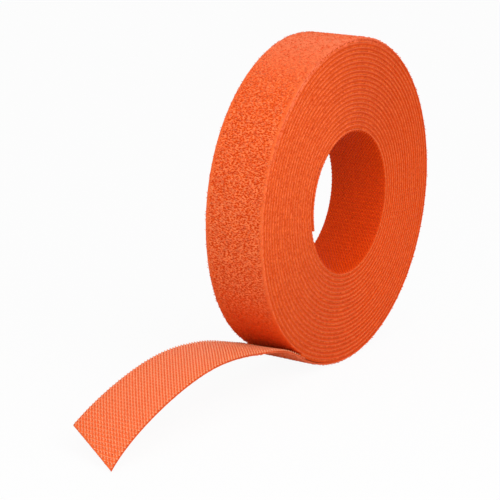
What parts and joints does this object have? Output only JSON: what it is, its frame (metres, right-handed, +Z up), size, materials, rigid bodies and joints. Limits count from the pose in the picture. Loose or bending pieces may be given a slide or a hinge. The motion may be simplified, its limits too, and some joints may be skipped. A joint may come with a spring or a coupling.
{
  "type": "hook and loop tape roll",
  "caption": "Coreless roll of back-to-back hook and loop tape with an open round bore; its outer end is pulled out at the foot and bends as a springy tail.",
  "frame": {"origin": "middle of the foot, the flat of the winding that stands on the floor, at half the tape's width", "axes": "+Z up from the floor, Y along the roll's axis, with the side that shows the winding to the viewer at -Y, and the tail pulled out towards -X"},
  "size_m": [0.164, 0.019, 0.0963],
  "materials": {
    "hook_ply": "orange nylon with a fine grid of moulded hooks",
    "loop_ply": "orange brushed nylon loop pile"
  },
  "bodies": {
    "roll": {"roll_hook_ply": "hook_ply", "roll_loop_ply": "loop_ply"},
    "inner_end": {"inner_end_hook_ply": "hook_ply", "inner_end_loop_ply": "loop_ply"},
    "tail_1": {"tail_1_hook_ply": "hook_ply", "tail_1_loop_ply": "loop_ply"},
    "tail_2": {"tail_2_hook_ply": "hook_ply", "tail_2_loop_ply": "loop_ply"},
    "tail_3": {"tail_3_hook_ply": "hook_ply", "tail_3_loop_ply": "loop_ply"},
    "tail_4": {"tail_4_hook_ply": "hook_ply", "tail_4_loop_ply": "loop_ply"},
    "tail_5": {"tail_5_hook_ply": "hook_ply", "tail_5_loop_ply": "loop_ply"},
    "tail_6": {"tail_6_hook_ply": "hook_ply", "tail_6_loop_ply": "loop_ply"}
  },
  "joints": [
    {"name": "inner_end_peel", "type": "hinge", "parent": "roll", "child": "inner_end", "pos_m": [-0.01767, 0, 0.05961], "axis": [0, -1, 0], "range_deg": [0, 35], "stiffness_Nm_per_rad": 0.02},
    {"name": "tail_bend_1", "type": "hinge", "parent": "roll", "child": "tail_1", "pos_m": [-0.02573, 0, 0.00739], "axis": [0, 1, 0], "range_deg": [-30, 4], "stiffness_Nm_per_rad": 0.02},
    {"name": "tail_bend_2", "type": "hinge", "parent": "tail_1", "child": "tail_2", "pos_m": [-0.04043, 0, 0.01253], "axis": [0, 1, 0], "range_deg": [-30, 12], "stiffness_Nm_per_rad": 0.02},
    {"name": "tail_bend_3", "type": "hinge", "parent": "tail_2", "child": "tail_3", "pos_m": [-0.05582, 0, 0.01512], "axis": [0, 1, 0], "range_deg": [-30, 12], "stiffness_Nm_per_rad": 0.02},
    {"name": "tail_bend_4", "type": "hinge", "parent": "tail_3", "child": "tail_4", "pos_m": [-0.07142, 0, 0.01536], "axis": [0, 1, 0], "range_deg": [-30, 12], "stiffness_Nm_per_rad": 0.02},
    {"name": "tail_bend_5", "type": "hinge", "parent": "tail_4", "child": "tail_5", "pos_m": [-0.0868, 0, 0.01267], "axis": [0, 1, 0], "range_deg": [-30, 12], "stiffness_Nm_per_rad": 0.02},
    {"name": "tail_bend_6", "type": "hinge", "parent": "tail_5", "child": "tail_6", "pos_m": [-0.10167, 0, 0.0079], "axis": [0, 1, 0], "range_deg": [-30, 12], "stiffness_Nm_per_rad": 0.02}
  ]
}
